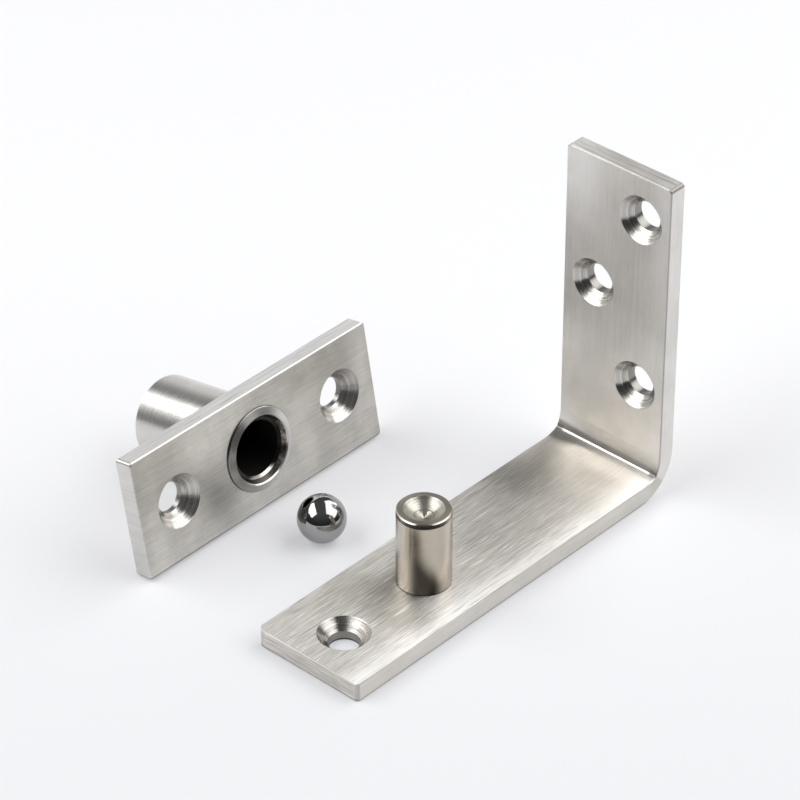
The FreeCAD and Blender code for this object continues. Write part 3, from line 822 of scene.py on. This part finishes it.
class HINGE_OT_finish_socket(bpy.types.Operator):
    """Brush the socket plate along its length and turn the barrel, dark inside its bore"""
    bl_idname = "hinge.finish_socket"
    bl_label = "Finish Socket"

    def execute(self, context):
        settings = context.scene.hinge_socket
        self.finish_plate(settings)
        self.finish_barrel(settings)
        return {"FINISHED"}

    def finish_plate(self, settings):
        steel = Steel("Plate Steel", "socket_plate", anisotropy=0.7)
        bench = steel.bench
        axes = SocketAxes(steel)
        along, up, out = axes.reach(axes.along), axes.reach(axes.up), axes.reach(axes.out)
        top_edge = bench.above(up, PLATE_HALF_WIDTH - END_DEPTH, blur=0.08)
        not_top = bench.not_(top_edge)
        left_end = bench.below(along, -PLATE_HALF_LENGTH + END_DEPTH, blur=0.08)
        lines = effect(
            bench, "Brushed Lines", Along=along, Across=bench.mix(top_edge, up, out),
            Side=bench.times(top_edge, 9.0), Line_Width=0.18, Line_Length=13.0)
        reflection_bands = effect(
            bench, "Brushed Lines", Along=up, Across=along, Side=4.0, Line_Width=1.3, Line_Length=30.0)
        marks = effect(bench, "Handling Marks", Place=steel.place, Size=7.0)
        wear = bench.add(0.35, bench.times(top_edge, 0.25))

        colour = settings.plate_colour
        base = bench.tint(lines["Coarse"], rgba(colour, 0.97), rgba(colour, 1.03))
        # Painted highlight: the plate's top edge is tinted near white
        base = bench.tint(top_edge, base, rgba(TOP_EDGE_HIGHLIGHT))
        base = bench.darken(bench.times(lines["Fine"], wear), base, shade=0.74)
        # Painted reflections: soft darker bands across the plate
        base = bench.darken(bench.times(reflection_bands["Coarse"], not_top), base, shade=0.88)
        # Painted light and painted shade in soft patches on the plate
        base = steel.painted_light_and_shade(base, along, up, PLATE_PAINTED_LIGHT_AND_SHADE, not_top)
        base = steel.scratched(base, lines, wear, brightness=0.7)
        base = bench.darken(bench.times(marks["Smudge"], not_top), base, shade=0.86)
        base = bench.tint(bench.times(left_end, 0.5), base, rgba(LEFT_END_COLOUR))
        rough = steel.lined_roughness(settings.plate_roughness, lines, spread=0.12)
        rough = bench.mix(top_edge, rough, TOP_EDGE_ROUGHNESS)
        height = bench.times(lines["Fine"], wear)

        nearest = steel.screw_holes(
            [(place_of(mount), axes.out) for mount in ("plate_screw_left", "plate_screw_right")])
        from_back = bench.add(out, PLATE_THICKNESS)
        base, rough, height = steel.countersunk(
            nearest, from_back, settings.sink_radius, 0.0, base, rough, height)
        facing_out = bench.dot(steel.normal, axes.out)
        facing_up = bench.dot(steel.normal, axes.up)
        # Painted shade on the plate's front top edge, away from the countersinks
        front_edge = bench.times(
            bench.above(facing_out, 0.3, blur=0.1), bench.above(facing_up, 0.3, blur=0.1),
            bench.above(nearest, settings.sink_radius + SINK_MARGIN, blur=0.1))
        base = bench.darken(front_edge, base, EDGE_SHADE)
        # Painted shade along the plate's lowest edge, where it stands on the paper
        low_edge = bench.below(up, -PLATE_HALF_WIDTH + LOW_EDGE_HEIGHT, blur=0.12)
        base = bench.darken(low_edge, base, LOW_EDGE_SHADE)
        steel.finish(base, rough, height, relief=0.000005, along=axes.along)

    def finish_barrel(self, settings):
        steel = Steel("Barrel Steel", "socket_barrel", anisotropy=0.55)
        bench = steel.bench
        axes = SocketAxes(steel)
        along, up = axes.reach(axes.along), axes.reach(axes.up)
        spot = effect(bench, "Axis Distance", Place=steel.place, Centre=axes.centre, Axis=axes.out)
        radius, height = spot["Radius"], spot["Height"]
        bore_radius = size_of("socket_bore", "r_mm")
        shut_end = bench.below(height, BARREL_SHUT_END, blur=0.1)
        in_bore = bench.times(bench.below(radius, bore_radius + 0.06, blur=0.04),
                              bench.below(height, BORE_START, blur=0.04), bench.not_(shut_end))
        wall = bench.times(bench.below(radius, MOUTH_RADIUS, blur=0.03),
                           bench.above(height, MOUTH_FOOT, blur=0.04))
        rim_foot = bench.times(bench.above(radius, RIM_RADIUS, blur=0.03),
                               bench.above(height, RIM_FOOT, blur=0.03),
                               bench.below(height, RIM_FOOT_TOP, blur=0.05))
        rings = effect(bench, "Turned Rings", Reach=bench.add(height, radius), Pitch=0.16)
        marks = effect(bench, "Handling Marks", Place=steel.place, Size=5.0)

        colour = settings.barrel_colour
        base = bench.tint(rings["Fine"], rgba(colour, 0.98), rgba(colour, 1.03))
        base = bench.darken(marks["Smudge"], base, shade=0.92)
        # Painted shade on the rim's bevel, strongest towards the left
        bevel = bench.times(bench.above(radius, BEVEL_RADIUS, blur=0.05),
                            bench.above(height, BEVEL_FOOT, blur=0.05))
        base = bench.darken(bench.times(bevel, bench.below(along, 2.0, blur=6.0)), base, shade=0.5)
        # Painted shade on the mouth's wall: near black, and a paler grainy brown towards the right
        grain = effect(bench, "Handling Marks", Place=steel.place, Size=0.8)
        right_side = bench.times(bench.above(along, 2.5, blur=2.0), grain["Smudge"])
        base = bench.tint(wall, base, bench.tint(right_side, rgba(MOUTH_SHADE), rgba(MOUTH_GRAINY_SHADE)))
        # Painted near-black shade in the throat, all but a crescent at its bottom
        throat = bench.times(bench.below(radius, THROAT_RADIUS, blur=0.03),
                             bench.below(height, THROAT_TOP, blur=0.04),
                             bench.above(height, THROAT_FOOT, blur=0.1))
        low_crescent = bench.below(up, -5.2, blur=0.5)
        throat = bench.times(throat, bench.not_(bench.either(in_bore, low_crescent)))
        base = bench.tint(throat, base, rgba(THROAT_SHADE))
        # Painted shade where the rim's foot meets the plate
        base = bench.darken(rim_foot, base, shade=0.25)
        # Painted shade: the deep bore is tinted near black
        base = bench.tint(in_bore, base, rgba(settings.bore_shade_colour))
        least_roughness, ring_roughness, bore_roughness = 0.26, 0.05, 0.5
        rough = bench.add(least_roughness, bench.times(rings["Fine"], ring_roughness))
        rough = bench.mix(in_bore, rough, bore_roughness)
        way = bench.cross(axes.out, axes.arm)
        steel.finish(base, rough, rings["Fine"], relief=0.0000018, along=way)


# Stage

def away_from_camera(bench, x, y):
    """How far a place or a direction is away from the camera."""
    return bench.add(bench.times(x, AWAY_X), bench.times(y, AWAY_Y))


class HINGE_OT_set_stage(bpy.types.Operator):
    """Lay the pale floor, set the two soft lights and the plain sky, and place the camera"""
    bl_idname = "hinge.set_stage"
    bl_label = "Set Stage"

    def execute(self, context):
        settings = context.scene.hinge_stage
        self.lay_floor(context, settings)
        self.set_light(context, "Right Softbox", settings.right_light,
                       azimuth=-35.0, elevation=48.0, width=1.26, height=0.84)
        self.set_light(context, "Left Softbox", settings.left_light,
                       azimuth=135.0, elevation=47.0, width=1.0, height=0.5)
        self.set_sky(context, settings)
        self.place_camera(context, settings)
        return {"FINISHED"}

    def lay_floor(self, context, settings):
        mesh = bpy.data.meshes.new("Floor")
        corners = [(x * FLOOR_REACH, y * FLOOR_REACH, FLOOR_LEVEL)
                   for x, y in ((-1, -1), (1, -1), (1, 1), (-1, 1))]
        mesh.from_pydata(corners, [], [(0, 1, 2, 3)])
        floor = bpy.data.objects.new("Floor", mesh)
        context.scene.collection.objects.link(floor)
        material = bpy.data.materials.new("Floor Paper")
        bench = cleared_bench(material)
        output = bench.put("ShaderNodeOutputMaterial")
        paper = bench.put("ShaderNodeBsdfDiffuse")
        bench.feed(paper.inputs["Color"], rgba(settings.floor_colour))
        glow = bench.put("ShaderNodeEmission")
        # The paper is a little whiter behind the pieces
        x, y, _ = bench.split(bench.put("ShaderNodeTexCoord").outputs["Object"])
        whiter = bench.ramp(away_from_camera(bench, x, y), -0.06, 0.13)
        bench.feed(glow.inputs["Color"], bench.tint(whiter, rgba(NEAR_PAPER), rgba(FAR_PAPER)))
        path = bench.put("ShaderNodeLightPath")
        seen = bench.times(path.outputs["Is Camera Ray"], 0.4)
        mirrored = bench.times(path.outputs["Is Glossy Ray"], 0.25)
        lit = bench.put("ShaderNodeMixShader")
        bench.filled(lit, bench.either(seen, mirrored), paper.outputs[0], glow.outputs[0])
        bench.feed(output.inputs["Surface"], lit.outputs[0])
        mesh.materials.append(material)

    def set_light(self, context, name, power, azimuth, elevation, width, height):
        """A rectangular soft light that faces the middle of the pieces."""
        turn, lift = math.radians(azimuth), math.radians(elevation)
        way = Vector((math.cos(turn) * math.cos(lift), math.sin(turn) * math.cos(lift), math.sin(lift)))
        lamp = bpy.data.lights.new(name, "AREA")
        lamp.shape = "RECTANGLE"
        lamp.size = width
        lamp.size_y = height
        lamp.energy = power
        light = bpy.data.objects.new(name, lamp)
        light.location = way * LIGHT_DISTANCE
        light.rotation_euler = way.to_track_quat("Z", "Y").to_euler()
        light.visible_camera = False
        context.scene.collection.objects.link(light)

    def set_sky(self, context, settings):
        """Plain light from all round, white behind the pieces, and a dim room in the reflections."""
        world = bpy.data.worlds.new("Studio")
        context.scene.world = world
        bench = cleared_bench(world)
        x, y, z = bench.split(bench.put("ShaderNodeTexCoord").outputs["Generated"])
        # The paper sweeps up behind the pieces, away from the camera
        behind = bench.ramp(away_from_camera(bench, x, y), -0.1, 0.45)
        sweep = bench.times(behind, bench.ramp(z, 0.39, 0.50, start=1.0, end=0.0))
        dim_room = bench.ramp(z, 0.0, 1.0, start=0.04, end=0.14)
        sweep_level, white_level = 0.85, 1.0
        mirrored = bench.mix(sweep, dim_room, sweep_level)
        path = bench.put("ShaderNodeLightPath")
        level = bench.mix(path.outputs["Is Glossy Ray"], settings.sky_level, mirrored)
        level = bench.mix(path.outputs["Is Camera Ray"], level, white_level)
        background = bench.put("ShaderNodeBackground")
        bench.feed(background.inputs["Strength"], level)
        bench.feed(background.inputs["Color"], rgba(WHITE))
        output = bench.put("ShaderNodeOutputWorld")
        bench.feed(output.inputs["Surface"], background.outputs[0])
        context.scene.view_settings.view_transform = "Standard"

    def place_camera(self, context, settings):
        """The photograph's view: from the left front, 35 degrees up, with a long lens."""
        data = bpy.data.cameras.new("Camera")
        data.sensor_fit = "HORIZONTAL"
        data.sensor_width = 36.0
        data.lens = settings.lens
        data.clip_start = 0.02
        data.clip_end = 30.0
        camera = bpy.data.objects.new("Camera", data)
        turned = Matrix((CAMERA_RIGHT, CAMERA_UP, CAMERA_BACK)).transposed().to_4x4()
        camera.matrix_world = Matrix.Translation(CAMERA_PLACE) @ turned
        context.scene.collection.objects.link(camera)
        context.scene.camera = camera


class HINGE_PT_finishes(bpy.types.Panel):
    """The hinge's finishes and its stage"""
    bl_idname = "HINGE_PT_finishes"
    bl_label = "Pivot Hinge"
    bl_space_type = "VIEW_3D"
    bl_region_type = "UI"
    bl_category = "Pivot Hinge"

    def draw(self, context):
        scene = context.scene
        for title, owner, operator in (
            ("Bracket", scene.hinge_bracket, "hinge.finish_bracket"),
            ("Pin", scene.hinge_pin, "hinge.finish_pin"),
            ("Ball", scene.hinge_ball, "hinge.finish_ball"),
            ("Socket", scene.hinge_socket, "hinge.finish_socket"),
            ("Stage", scene.hinge_stage, "hinge.set_stage"),
        ):
            box = self.layout.box()
            box.label(text=title)
            for name in type(owner).__annotations__:
                box.prop(owner, name)
            box.operator(operator)


SETTINGS = {
    "hinge_bracket": BracketFinish,
    "hinge_pin": PinFinish,
    "hinge_ball": BallFinish,
    "hinge_socket": SocketFinish,
    "hinge_stage": HingeStage,
}
CLASSES = (
    *SETTINGS.values(),
    HINGE_OT_finish_bracket,
    HINGE_OT_finish_pin,
    HINGE_OT_finish_ball,
    HINGE_OT_finish_socket,
    HINGE_OT_set_stage,
    HINGE_PT_finishes,
)


def register():
    for cls in CLASSES:
        bpy.utils.register_class(cls)
    for name, cls in SETTINGS.items():
        setattr(bpy.types.Scene, name, bpy.props.PointerProperty(type=cls))


def unregister():
    for name in SETTINGS:
        delattr(bpy.types.Scene, name)
    for cls in reversed(CLASSES):
        bpy.utils.unregister_class(cls)


def main():
    register()
    bpy.ops.hinge.set_stage()
    bpy.ops.hinge.finish_bracket()
    bpy.ops.hinge.finish_pin()
    bpy.ops.hinge.finish_ball()
    bpy.ops.hinge.finish_socket()


if __name__ == "__main__":
    main()
